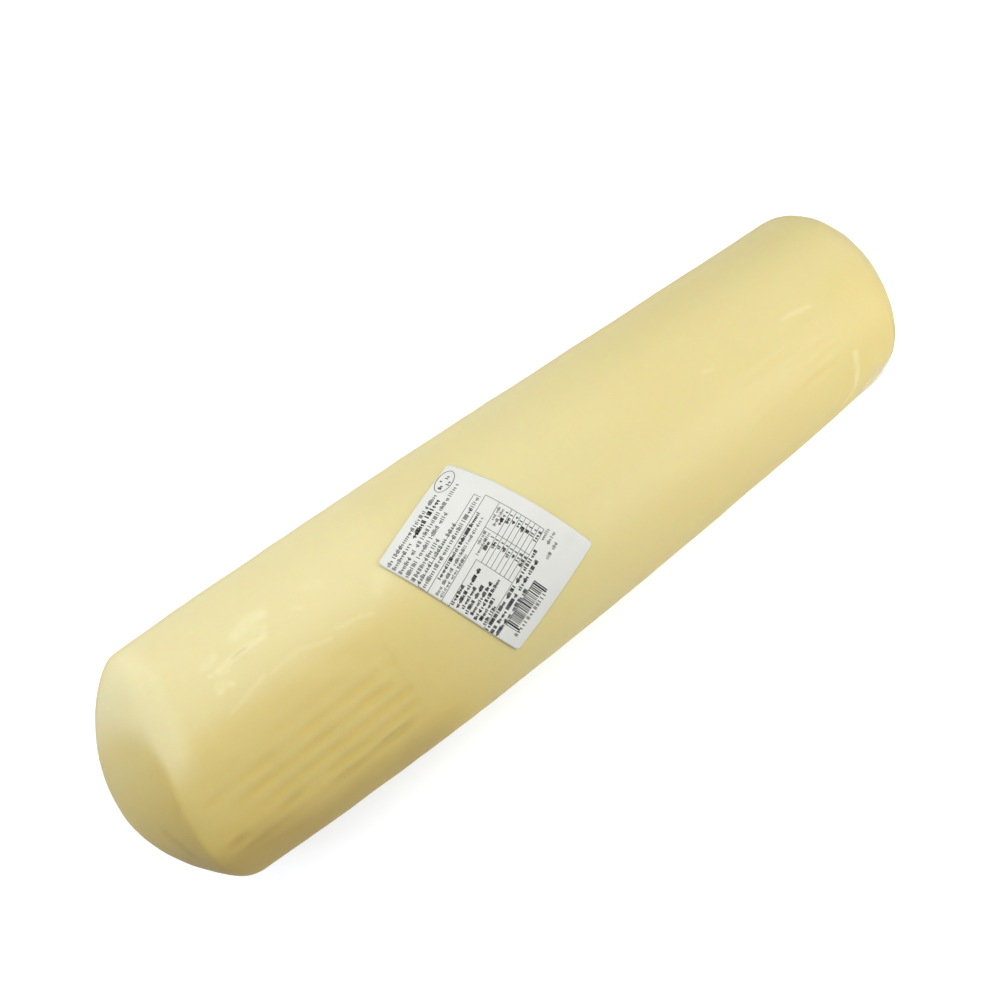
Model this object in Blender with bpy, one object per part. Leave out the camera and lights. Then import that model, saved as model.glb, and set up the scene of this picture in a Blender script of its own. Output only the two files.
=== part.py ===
# A whole provolone log in its tight clear film, with one paper label wrapped round its side.
# Metres, +Z up.  The log lies along X, the plain blunt end at -X and the slimmer end at +X.
# The origin is the centre of the footprint, on the small flat that the log has lain itself.

import math

import bmesh
import bpy
import numpy as np

# ---- driving dimensions -------------------------------------------------------------------
MID_RADIUS = 0.0618            # radius halfway along
BODY_LENGTH = 0.419            # from rim to rim, without the two domed ends
FLAT_DEPTH = 0.0027            # how far the underside is pressed flat

# radius along the log, as shares of MID_RADIUS; u runs from -1 at the blunt rim to +1
TAPER = 0.060                  # narrows towards +X
BARREL = 0.052                 # swells at the middle
TAPER_EASE = 0.022             # takes some of the taper back near the slim end

BOW = 0.0031                   # the axis bows towards -Y at the middle
BOW_SKEW = 0.0009              # and a little more of that bow lies towards -X

# the blunt end: a steep dome whose crown is pressed into a flatter face
BLUNT_DOME = dict(height=0.0384, rise=1.36, fullness=1.75)
FACE_HEIGHT = 0.0365           # how far the pressed face stands out from the rim, on the axis
FACE_CROWN = 0.0297            # and how far it falls back at the rim's radius
FACE_TILT_Y = 0.0032
FACE_TILT_Z = -0.0039
FACE_WAVE = (-0.0016, 0.0005, -0.0010, 0.0001)     # two and three waves round its edge, cosine and sine
FACE_BLEND = 0.0007            # half width of the soft crease round the face

SLIM_DOME = dict(height=0.0296, rise=0.95, fullness=2.31)

# each rim is rounded over this width on either side; the blunt one far more over the top and label side
SLIM_RIM = 0.0054
BLUNT_RIM = 0.0024
BLUNT_RIM_TOP = 0.0103
BLUNT_RIM_FROM = 78.0          # degrees between which the wide rounding is full
BLUNT_RIM_TO = 150.0
BLUNT_RIM_EASE = 26.0
SLIM_INWARD = 0.95             # share of the width that is taken from the dome's radius
BLUNT_INWARD = 0.60

# each rim is slightly out of square with the axis: shift along X for a metre of Y or Z
BLUNT_RIM_SKEW = (0.058, -0.001)
SLIM_RIM_SKEW = (0.121, 0.017)
# and out of its own plane: the height of two and of three waves round it, each a cosine and a sine
BLUNT_RIM_WAVE = (0.0023, -0.0013, 0.0022, 0.0030)
SLIM_RIM_WAVE = (0.0014, -0.0045, -0.0026, 0.0002)

# shallow grooves that the mould's ribs left along the side, one patch near each end
# (pitch in degrees round the log; tilt in degrees of turn for a metre of length)
RIB_PATCHES = [
    dict(centre_x=-0.159, half_length=0.0485, first_angle=103.7, pitch=7.15, count=8,
         tilt=-45.0, depth=0.0005),
    dict(centre_x=0.135, half_length=0.0430, first_angle=110.8, pitch=7.15, count=5,
         tilt=0.0, depth=0.0003),
]
RIB_EASE = 0.008               # length over which a groove fades out

# the label, laid on the side and turned a little out of line with the axis
LABEL_WIDTH = 0.060            # along its lines of print
LABEL_HEIGHT = 0.0794
LABEL_CORNER = 0.0025
LABEL_THICKNESS = 0.0003
LABEL_X = -0.0510              # its centre, from the middle of the body
LABEL_ANGLE = 110.8            # its centre round the log, degrees from +Y over the top to -Y
LABEL_TURN = -22.9             # degrees from the log's axis
SKIN_GAP = 0.0003              # clearance between the label and the film

# ---- mesh spacing -------------------------------------------------------------------------
BODY_STATIONS = 27
RIM_STATIONS = (0.0125, 0.0085, 0.0045, 0.0018)
DOME_SHARES = (0.26, 0.50, 0.70, 0.84, 0.93, 0.97, 0.99)
COARSE_STEP = 6.0              # degrees round the log
RIBS_FROM = 100.0
RIBS_TO = 158.0
FINE_STEP = 2.0                # degrees, where the ribs run
LABEL_COLUMNS = 8
LABEL_ROWS = 14
CORNER_ROWS = 3


def clear_scene():
    for old in list(bpy.data.objects):
        bpy.data.objects.remove(old, do_unlink=True)


def make_material(name, colour, roughness):
    material = bpy.data.materials.new(name)
    material.use_nodes = True
    shader = material.node_tree.nodes["Principled BSDF"]
    shader.inputs["Base Color"].default_value = (*colour, 1.0)
    shader.inputs["Roughness"].default_value = roughness
    shader.inputs["Metallic"].default_value = 0.0
    return material


def radius_at(u):
    """Radius of the round body at u, from -1 at the blunt rim to +1 at the slim rim."""
    return MID_RADIUS * (1.0 - TAPER * u - BARREL * u**2 + TAPER_EASE * u**3)


def centre_at(u):
    """Height and sideways place of the axis: every section's lowest point is on one level."""
    side = -(BOW - BOW_SKEW * u) * (1.0 - u**2)
    height = radius_at(u) - FLAT_DEPTH
    return side, height


def waves_round(height, turn):
    """Two and three waves in a turn, each a cosine and a sine of its own height."""
    two = height[0] * np.cos(2.0 * turn) + height[1] * np.sin(2.0 * turn)
    three = height[2] * np.cos(3.0 * turn) + height[3] * np.sin(3.0 * turn)
    return two + three


def rim_shift(u, end, y, z):
    """The shift along X that sets both rims out of square, fading out towards the middle."""
    skew_y, skew_z = SLIM_RIM_SKEW if end > 0 else BLUNT_RIM_SKEW
    return abs(u)**3 * (skew_y * y + skew_z * z)


def smooth_step(t):
    t = np.clip(t, 0.0, 1.0)
    return t * t * (3.0 - 2.0 * t)


def rib_relief(x, angle):
    """Depth of the grooves at a place on the side: a raised cosine across each patch."""
    relief = 0.0
    for patch in RIB_PATCHES:
        offset = x - patch["centre_x"]
        along = smooth_step((patch["half_length"] - abs(offset)) / RIB_EASE)
        turn = (angle - patch["first_angle"] - patch["tilt"] * offset) / patch["pitch"] + 0.5
        inside = (turn >= 0.0) & (turn <= patch["count"])
        relief = relief + inside * along * patch["depth"] * 0.5 * (1.0 - np.cos(2.0 * math.pi * turn))
    return relief


def dome_out(share, end):
    """How far a dome stands out from its rim at a share of the rim's radius."""
    dome = SLIM_DOME if end > 0 else BLUNT_DOME
    return dome["height"] * (1.0 - share**dome["fullness"])**(1.0 / dome["rise"])


def press_face(out, share, turn):
    """The lower of the blunt dome and the pressed face, with a soft crease between them."""
    face = FACE_HEIGHT - FACE_CROWN * share**2
    face = face + share * (FACE_TILT_Y * np.cos(turn) + FACE_TILT_Z * np.sin(turn))
    face = face + share**2 * waves_round(FACE_WAVE, turn)
    return 0.5 * (out + face - np.sqrt((out - face)**2 + 4.0 * FACE_BLEND**2))


def rim_width(angle, end):
    """How far the rim is rounded on either side."""
    if end > 0:
        return SLIM_RIM + 0.0 * angle
    top = smooth_step((angle - BLUNT_RIM_FROM) / BLUNT_RIM_EASE + 1.0)
    top = top * smooth_step((BLUNT_RIM_TO - angle) / BLUNT_RIM_EASE + 1.0)
    return BLUNT_RIM + (BLUNT_RIM_TOP - BLUNT_RIM) * top


def round_rim(out, ring, share, angle, end):
    """A cubic curve across the rim, from the body to the dome, leaving each in its own direction."""
    radius = radius_at(end)
    width = rim_width(angle, end)
    stop = 1.0 - width * (SLIM_INWARD if end > 0 else BLUNT_INWARD) / radius
    across = out / width if share >= 1.0 else (1.0 - share) / (1.0 - stop)
    t = np.clip(0.5 + 0.5 * across, 0.0, 1.0)
    first = (-width, radius_at(end * (1.0 - 2.0 * width / BODY_LENGTH)))
    last = (dome_out(stop, end), radius * stop)
    leave = (width, radius - first[1])
    arrive = (dome_out(stop - 0.001, end) - last[0], -0.001 * radius)
    reach = np.hypot(last[0] - first[0], last[1] - first[1])
    rounded = []
    for k in (0, 1):
        one = leave[k] * reach / np.hypot(*leave)
        two = arrive[k] * reach / np.hypot(*arrive)
        curve = first[k] * (2.0 * t**3 - 3.0 * t**2 + 1.0) + last[k] * (3.0 * t**2 - 2.0 * t**3)
        rounded.append(curve + one * (t**3 - 2.0 * t**2 + t) + two * (t**3 - t**2))
    within = (t > 0.0) & (t < 1.0)
    return np.where(within, rounded[0], out), np.where(within, rounded[1], ring)


def skin_point(x, share, angle, lift=0.0):
    """A point of the log: x from its middle, a share of the ring's radius, the angle in degrees."""
    turn = np.radians(angle)
    half = BODY_LENGTH / 2.0
    end = 1.0 if x > 0 else -1.0
    out = dome_out(share, end) if share < 1.0 else end * x - half
    ring = radius_at(x / half) * share
    out, ring = round_rim(out, ring, share, angle, end)
    if end < 0:
        out = press_face(out, ring / radius_at(end), turn)
    x_out = end * (half + out)
    u = np.clip(x_out / half, -1.0, 1.0)
    side, height = centre_at(u)
    if share >= 1.0:
        ring = ring - rib_relief(x, angle) + lift
    y = ring * np.cos(turn)
    z = ring * np.sin(turn)
    # a rim stands out of its own plane, towards its end, by its waves
    wave = waves_round(SLIM_RIM_WAVE if end > 0 else BLUNT_RIM_WAVE, turn)
    x_out = x_out + rim_shift(u, end, y, z) + end * abs(u)**10 * share**2 * wave
    return x_out, y + side, z + height


def ring_angles():
    """Angles round the log, closer together where the ribs run."""
    steps = int((RIBS_TO - RIBS_FROM) / FINE_STEP)
    fine = np.linspace(RIBS_FROM, RIBS_TO, steps, endpoint=False)
    rest = 360.0 - (RIBS_TO - RIBS_FROM)
    coarse = np.linspace(RIBS_TO, RIBS_TO + rest, int(rest / COARSE_STEP), endpoint=False)
    return np.concatenate([fine, coarse])


def log_rings(angles):
    """Rings of points from the blunt end's innermost ring to the slim end's."""
    half = BODY_LENGTH / 2.0
    inner = half - RIM_STATIONS[0] - 0.005
    near_rim = half - np.array(RIM_STATIONS)
    stations = [-half, *-near_rim[::-1], *np.linspace(-inner, inner, BODY_STATIONS), *near_rim, half]
    rings = [skin_point(-half, share, angles) for share in DOME_SHARES]
    rings += [skin_point(x, 1.0, angles) for x in stations]
    rings += [skin_point(half, share, angles) for share in DOME_SHARES[::-1]]
    return rings


def make_log(material):
    """Skins the rings, closes both ends on a pole and presses the underside flat."""
    angles = ring_angles()
    shape = bmesh.new()
    loops = []
    for x, y, z in log_rings(angles):
        loops.append([shape.verts.new(place) for place in zip(x, y, z)])
    count = len(angles)
    for near, far in zip(loops[:-1], loops[1:]):
        for i in range(count):
            j = (i + 1) % count
            shape.faces.new((near[i], near[j], far[j], far[i]))
    for end, loop in ((-1, loops[0]), (1, loops[-1])):
        place = [float(value) for value in skin_point(end * BODY_LENGTH / 2.0, 0.0, 90.0)]
        pole = shape.verts.new(place)
        for i in range(count):
            shape.faces.new((pole, loop[i], loop[(i + 1) % count]))
    for corner in shape.verts:
        corner.co.z = max(corner.co.z, 0.0)
    bmesh.ops.recalc_face_normals(shape, faces=shape.faces)
    return finish_object("wrapped_cheese", shape, material)


def label_rows():
    """Rows of the label with the half width of each, narrowing round the corners."""
    straight = LABEL_HEIGHT / 2.0 - LABEL_CORNER
    turns = np.linspace(0.0, math.pi / 2.0, CORNER_ROWS + 1)[1:]
    corner_rows = straight + LABEL_CORNER * np.sin(turns)
    corner_half = LABEL_WIDTH / 2.0 - LABEL_CORNER * (1.0 - np.cos(turns))
    plain_rows = np.linspace(-straight, straight, LABEL_ROWS)
    rows = np.concatenate([-corner_rows[::-1], plain_rows, corner_rows])
    plain_half = np.full(LABEL_ROWS, LABEL_WIDTH / 2.0)
    halves = np.concatenate([corner_half[::-1], plain_half, corner_half])
    return rows, halves


def label_point(along, across):
    """A point on the label: along its print and across it, both measured over the skin."""
    turn = math.radians(LABEL_TURN)
    x = LABEL_X + along * math.cos(turn) - across * math.sin(turn)
    arc = along * math.sin(turn) + across * math.cos(turn)
    angle = LABEL_ANGLE + np.degrees(arc / MID_RADIUS)
    return skin_point(x, 1.0, angle, lift=SKIN_GAP)


def make_label(material):
    """A sheet over the film, given its thickness by a Solidify modifier."""
    rows, halves = label_rows()
    shape = bmesh.new()
    grid = []
    for across, half in zip(rows, halves):
        line = []
        for along in np.linspace(-half, half, LABEL_COLUMNS + 1):
            line.append(shape.verts.new([float(value) for value in label_point(along, across)]))
        grid.append(line)
    for lower, upper in zip(grid[:-1], grid[1:]):
        for i in range(LABEL_COLUMNS):
            shape.faces.new((lower[i], lower[i + 1], upper[i + 1], upper[i]))
    shape.normal_update()
    middle = grid[len(grid) // 2][LABEL_COLUMNS // 2]
    if middle.normal.z < 0.0:
        bmesh.ops.reverse_faces(shape, faces=shape.faces)
    label = finish_object("label", shape, material)
    solidify = label.modifiers.new("paper", "SOLIDIFY")
    solidify.thickness = LABEL_THICKNESS
    solidify.offset = 1.0
    return label


def finish_object(name, shape, material):
    mesh = bpy.data.meshes.new(name)
    shape.to_mesh(mesh)
    shape.free()
    mesh.shade_smooth()
    mesh.set_sharp_from_angle(angle=math.radians(25.0))
    mesh.materials.append(material)
    thing = bpy.data.objects.new(name, mesh)
    bpy.context.scene.collection.objects.link(thing)
    return thing


def centre_footprint(things):
    """Moves everything sideways so that the log's footprint is centred on the origin."""
    corners = [np.array(corner) for corner in things[0].bound_box]
    low = np.min(corners, axis=0)
    high = np.max(corners, axis=0)
    middle = (low + high) / 2.0
    for thing in things:
        thing.location = (-middle[0], -middle[1], 0.0)


def main():
    clear_scene()
    film_over_cheese = make_material("film_over_cheese", (0.80, 0.66, 0.33), 0.35)
    paper = make_material("paper", (0.82, 0.82, 0.79), 0.6)
    log = make_log(film_over_cheese)
    label = make_label(paper)
    centre_footprint([log, label])


main()
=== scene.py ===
import math

import bpy
import numpy as np
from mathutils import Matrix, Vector


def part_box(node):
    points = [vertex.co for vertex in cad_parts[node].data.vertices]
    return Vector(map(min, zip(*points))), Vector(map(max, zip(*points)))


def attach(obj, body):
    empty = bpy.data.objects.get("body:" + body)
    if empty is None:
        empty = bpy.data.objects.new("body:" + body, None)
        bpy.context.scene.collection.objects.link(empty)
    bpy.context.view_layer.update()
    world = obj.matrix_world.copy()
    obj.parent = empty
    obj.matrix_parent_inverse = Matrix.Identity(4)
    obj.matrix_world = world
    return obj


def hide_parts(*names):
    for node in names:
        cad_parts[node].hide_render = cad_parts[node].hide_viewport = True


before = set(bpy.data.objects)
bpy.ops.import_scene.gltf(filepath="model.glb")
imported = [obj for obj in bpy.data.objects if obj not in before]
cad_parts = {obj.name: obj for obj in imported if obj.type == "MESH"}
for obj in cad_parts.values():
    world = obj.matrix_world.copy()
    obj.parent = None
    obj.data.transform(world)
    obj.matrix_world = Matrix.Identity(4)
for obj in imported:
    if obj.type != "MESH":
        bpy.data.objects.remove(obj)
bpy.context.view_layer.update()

logForm = dict(
    midRadius=0.0618, bodyLength=0.419, flatDepth=0.0027,
    taper=0.060, barrel=0.052, taperEase=0.022,      # shares of midRadius
    bow=0.0031, bowSkew=0.0009,
    bluntHeight=0.0384, bluntRise=1.36, bluntFullness=1.75,
    faceHeight=0.0365, faceCrown=0.0297, faceTiltY=0.0032, faceTiltZ=-0.0039, faceBlend=0.0007,
    faceWave=(-0.0016, 0.0005, -0.0010, 0.0001),
    slimHeight=0.0296, slimRise=0.95, slimFullness=2.31,
    bluntSkew=(0.058, -0.001), slimSkew=(0.121, 0.017),
    bluntWave=(0.0023, -0.0013, 0.0022, 0.0030), slimWave=(0.0014, -0.0045, -0.0026, 0.0002),
)
# how far each rim is rounded either side, and how much of that is taken from the dome's radius
rims = dict(bluntTop=0.0103, bluntSides=0.0024, slim=0.0054, fromAngle=78.0, toAngle=150.0, ease=26.0,
            bluntInward=0.60, slimInward=0.95)


# small helpers, used by every piece

def smoothStep(t):
    # 0 below 0, 1 above 1, and 3t^2 - 2t^3 between them
    t = np.clip(t, 0.0, 1.0)
    return t * t * (3.0 - 2.0 * t)


def window(value, low, high, ease):
    # 1 between low and high, falling smoothly to 0 over ease outside each of them
    return smoothStep((value - low) / ease + 1.0) * smoothStep((high - value) / ease + 1.0)


def waves(x, y, seed, size, count=12):
    # a sum of sine waves in seeded directions, about 1 high, whose lengths lie round size
    draw = np.random.default_rng(seed)
    heading = draw.uniform(0.0, 2.0 * math.pi, count)
    length = size * draw.uniform(0.6, 1.8, count)
    phase = draw.uniform(0.0, 2.0 * math.pi, count)
    total = 0.0 * x
    for turn, wave, start in zip(heading, length, phase):
        total = total + np.sin(2.0 * math.pi * (x * math.cos(turn) + y * math.sin(turn)) / wave + start)
    return total / math.sqrt(count / 2.0)


def makePiece(name, points, faces, material, attributes=None):
    # one mesh object at the origin, its faces turned outwards by the sign of its volume
    points = np.asarray(points, float).reshape(-1, 3)
    volume = 0.0
    for block in faces:
        a, b, c = points[block[:, 0]], points[block[:, 1]], points[block[:, 2]]
        volume += np.einsum("ij,ij->i", a, np.cross(b, c)).sum()
        if block.shape[1] == 4:
            d = points[block[:, 3]]
            volume += np.einsum("ij,ij->i", a, np.cross(c, d)).sum()
    rows = []
    for block in faces:
        rows += (block if volume > 0.0 else block[:, ::-1]).tolist()
    mesh = bpy.data.meshes.new(name)
    mesh.from_pydata(points.tolist(), [], rows)
    for key, values in (attributes or {}).items():
        layer = mesh.attributes.new(key, "FLOAT", "POINT")
        layer.data.foreach_set("value", np.asarray(values, np.float32).ravel())
    mesh.shade_smooth()
    mesh.materials.append(material)
    mesh.validate()
    piece = bpy.data.objects.new(name, mesh)
    bpy.context.scene.collection.objects.link(piece)
    return piece


def slabFaces(count, rows, columns):
    # faces of count closed sheets, each a top and a bottom grid of rows by columns joined round the edge
    i, j = np.meshgrid(np.arange(rows - 1), np.arange(columns - 1), indexing="ij")
    corner = (i * columns + j).ravel()
    top = np.stack([corner, corner + 1, corner + columns + 1, corner + columns], 1)
    bottom = top[:, ::-1] + rows * columns
    rim = np.concatenate([
        np.arange(columns - 1),
        np.arange(rows - 1) * columns + columns - 1,
        (rows - 1) * columns + np.arange(columns - 1, 0, -1),
        np.arange(rows - 1, 0, -1) * columns,
    ])
    after = np.roll(rim, -1)
    side = np.stack([after, rim, rim + rows * columns, after + rows * columns], 1)
    one = np.concatenate([top, bottom, side])
    shift = np.arange(count)[:, None, None] * (2 * rows * columns)
    return (one[None] + shift).reshape(-1, 4)


# the log's plain skin, before any relief

def radiusAt(u):
    # midRadius times a cubic in u, the place along the log from -1 at the blunt rim to +1 at the slim rim
    f = logForm
    return f["midRadius"] * (1.0 - f["taper"] * u - f["barrel"] * u**2 + f["taperEase"] * u**3)


def axisAt(u):
    # sideways a parabola for the bow; in height such that every section's lowest point is on one level
    side = -(logForm["bow"] - logForm["bowSkew"] * u) * (1.0 - u**2)
    return side, radiusAt(u) - logForm["flatDepth"]


def domeOut(share, blunt):
    # height times (1 - share^fullness)^(1/rise); share is the distance from the axis over the rim's radius
    kind = "blunt" if blunt else "slim"
    height, rise, fullness = (logForm[kind + part] for part in ("Height", "Rise", "Fullness"))
    return height * (1.0 - share**fullness)**(1.0 / rise)


def wavesRound(heights, turn):
    # two and three waves in a turn, each a cosine and a sine of its own height
    two = heights[0] * np.cos(2.0 * turn) + heights[1] * np.sin(2.0 * turn)
    return two + heights[2] * np.cos(3.0 * turn) + heights[3] * np.sin(3.0 * turn)


def faceOut(share, turn):
    # the pressed face is a shallow tilted cap: height - crown * share^2, plus the tilts and the waves
    f = logForm
    face = f["faceHeight"] - f["faceCrown"] * share**2
    face = face + share * (f["faceTiltY"] * np.cos(turn) + f["faceTiltZ"] * np.sin(turn))
    return face + share**2 * wavesRound(f["faceWave"], turn)


def pressFace(out, share, turn):
    # the lower of the dome and the pressed face, with a soft crease between them
    face = faceOut(share, turn)
    return 0.5 * (out + face - np.sqrt((out - face)**2 + 4.0 * logForm["faceBlend"]**2))


def roundRim(out, ring, share, angle, blunt):
    # a cubic curve from the body to the dome across the rim, leaving each of them in its own direction
    end = -1.0 if blunt else 1.0
    radius = radiusAt(end)
    width = rims["slim"] + 0.0 * angle
    if blunt:
        top = window(angle, rims["fromAngle"], rims["toAngle"], rims["ease"])
        width = rims["bluntSides"] + (rims["bluntTop"] - rims["bluntSides"]) * top
    stop = 1.0 - width * rims["bluntInward" if blunt else "slimInward"] / radius
    t = np.where(share >= 1.0, 0.5 + 0.5 * out / width, 0.5 + 0.5 * (1.0 - share) / (1.0 - stop))
    t = np.clip(t, 0.0, 1.0)
    first = -width, radiusAt(end * (1.0 - 2.0 * width / logForm["bodyLength"]))
    last = domeOut(stop, blunt), radius * stop
    leave = width, radius - first[1]
    arrive = domeOut(stop - 0.001, blunt) - last[0], -0.001 * radius
    reach = np.hypot(last[0] - first[0], last[1] - first[1])
    rounded = []
    for k in (0, 1):
        one = leave[k] * reach / np.hypot(*leave)
        two = arrive[k] * reach / np.hypot(*arrive)
        curve = first[k] * (2.0 * t**3 - 3.0 * t**2 + 1.0) + last[k] * (3.0 * t**2 - 2.0 * t**3)
        rounded.append(curve + one * (t**3 - 2.0 * t**2 + t) + two * (t**3 - t**2))
    within = (t > 0.0) & (t < 1.0)
    return np.where(within, rounded[0], out), np.where(within, rounded[1], ring)


def rimWave(u, turn):
    # how far a rim stands out of its own plane, along X
    slim = wavesRound(logForm["slimWave"], turn)
    blunt = wavesRound(logForm["bluntWave"], turn)
    return np.where(u > 0.0, slim, -blunt)


def skinPoints(x, share, angle):
    # a ring of radius share * radiusAt round the axis; past a rim it stands out by the dome's height
    x, share, angle = np.broadcast_arrays(x, share, angle)
    turn = np.radians(angle)
    half = 0.5 * logForm["bodyLength"]
    u = np.clip(x / half, -1.0, 1.0)
    along, ring = x, radiusAt(u) * share
    for blunt, end in ((True, -1.0), (False, 1.0)):
        out = np.where(share < 1.0, domeOut(share, blunt), end * x - half)
        out, bent = roundRim(out, ring, share, angle, blunt)
        if blunt:
            out = pressFace(out, bent / radiusAt(end), turn)
        along = np.where(u * end > 0.0, end * (half + out), along)
        ring = np.where(u * end > 0.0, bent, ring)
    u = np.clip(along / half, -1.0, 1.0)
    side, height = axisAt(u)
    y = ring * np.cos(turn)
    z = ring * np.sin(turn)
    skewY = np.where(u > 0.0, logForm["slimSkew"][0], logForm["bluntSkew"][0])
    skewZ = np.where(u > 0.0, logForm["slimSkew"][1], logForm["bluntSkew"][1])
    along = along + np.abs(u)**3 * (skewY * y + skewZ * z) + np.abs(u)**10 * share**2 * rimWave(u, turn)
    return np.stack([along, y + side, z + height], -1)


skinGrid = dict(bluntRings=56, slimRings=36, nearStep=0.00080, farStep=0.0031, nearEnd=-0.098,
                seam=-90.0, fineFrom=20.0, fineTo=200.0, fineStep=0.75, coarseStep=3.6)


def ringTable():
    # x and share of every ring, from the blunt end's pole outwards, along the body and in to the slim pole
    half = logForm["bodyLength"] / 2.0
    blunt = np.sin(np.linspace(0.0, math.pi / 2.0, skinGrid["bluntRings"] + 1))[1:-1]
    slim = np.sin(np.linspace(math.pi / 2.0, 0.0, skinGrid["slimRings"] + 1))[1:-1]
    nearEnd = skinGrid["nearEnd"]
    near = np.linspace(-half, nearEnd, round((nearEnd + half) / skinGrid["nearStep"]))
    far = np.linspace(nearEnd, half, round((half - nearEnd) / skinGrid["farStep"]))[1:]
    x = np.concatenate([np.full(blunt.size, -half), near, far, np.full(slim.size, half)])
    share = np.concatenate([blunt, np.ones(near.size + far.size), slim])
    return x, share


def ringAngles():
    # from the lowest line round to it again, close together over the top and the label's side
    g = skinGrid
    back = np.arange(g["seam"], g["fineFrom"], g["coarseStep"])
    fine = np.arange(g["fineFrom"], g["fineTo"], g["fineStep"])
    under = np.arange(g["fineTo"], g["seam"] + 359.0, g["coarseStep"])
    return np.concatenate([back, fine, under])


ribs = [
    dict(low=-0.2085, high=-0.1105, easeIn=0.0100, easeOut=0.0045, first=103.7, pitch=7.15, count=8,
         tilt=-45.0, depth=0.00040, faint=0.22, faintTo=110.0, fullFrom=136.0),
    dict(low=0.0930, high=0.1770, easeIn=0.0150, easeOut=0.0150, first=110.8, pitch=7.15, count=5,
         tilt=0.0, depth=0.00018, faint=0.6, faintTo=100.0, fullFrom=130.0),
]
ribPanel = dict(low=-0.1960, high=-0.1115, fromAngle=103.0, toAngle=152.5, easeIn=0.0120, easeOut=0.0018,
                angleEase=1.8, depth=0.00010)
ribVariety = dict(mean=0.85, swing=0.55, least=0.1, size=0.035, apart=0.05, seed=40, waves=8)
nearPatch = dict(low=-0.2090, high=-0.1905, fromAngle=94.0, toAngle=111.0, ease=0.0020, angleEase=1.0,
                 height=0.00014)
# bumps (+) and dents (-): place along, angle, half length, half width in degrees, height
marks = [
    (-0.1155, 80.5, 0.0022, 2.2, -0.00022), (-0.0975, 95.5, 0.003, 2.6, 0.00022),
    (-0.187, 128.8, 0.011, 1.3, 0.00012), (-0.153, 126.2, 0.005, 1.5, 0.00016),
    (-0.154, 139.6, 0.0022, 1.1, -0.00018), (-0.1115, 137.0, 0.0022, 1.6, -0.00018),
    (-0.198, 142.0, 0.006, 3.4, 0.0002), (-0.1945, 122.0, 0.0028, 1.4, 0.00014),
    (-0.152, 75.0, 0.006, 2.0, 0.00012), (-0.176, 93.0, 0.0034, 1.4, 0.00012),
    (-0.188, 80.5, 0.0022, 2.0, 0.0001), (-0.12, 121.5, 0.0012, 1.4, 0.00016),
    (-0.1095, 122.0, 0.0012, 1.6, 0.00014), (0.12, 64.4, 0.0011, 0.9, -0.00018),
    (0.156, 105.6, 0.0075, 0.7, 0.00014),
    (0.124, 141.0, 0.003, 1.6, 0.00012),
]
unevenness = dict(broad=0.00011, broadSize=0.085, broadSeed=5, small=0.00005, smallSize=0.017, smallSeed=6,
                  smallWaves=16)
bodyFrom = dict(x=-0.2090, ease=0.0045)      # marks and grooves begin here, past the blunt rim


def grooves(x, angle):
    # a raised cosine across each groove, fading at the patch's two ends, deeper here and shallower there
    relief = np.zeros(x.shape)
    v = ribVariety
    for k, patch in enumerate(ribs):
        middle = 0.5 * (patch["low"] + patch["high"])
        turn = (angle - patch["first"] - patch["tilt"] * (x - middle)) / patch["pitch"] + 0.5
        inside = (turn >= 0.0) & (turn <= patch["count"])
        along = smoothStep((x - patch["low"]) / patch["easeIn"])
        along = along * smoothStep((patch["high"] - x) / patch["easeOut"])
        sway = waves(x, np.floor(turn) * v["apart"], v["seed"] + k, v["size"], v["waves"])
        uneven = np.maximum(v["mean"] + v["swing"] * sway, v["least"])
        firm = smoothStep((angle - patch["faintTo"]) / (patch["fullFrom"] - patch["faintTo"]))
        firm = patch["faint"] + (1.0 - patch["faint"]) * firm
        wave = 0.5 * (1.0 - np.cos(2.0 * math.pi * turn))
        relief += inside * along * firm * uneven * patch["depth"] * wave
    return relief


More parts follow.
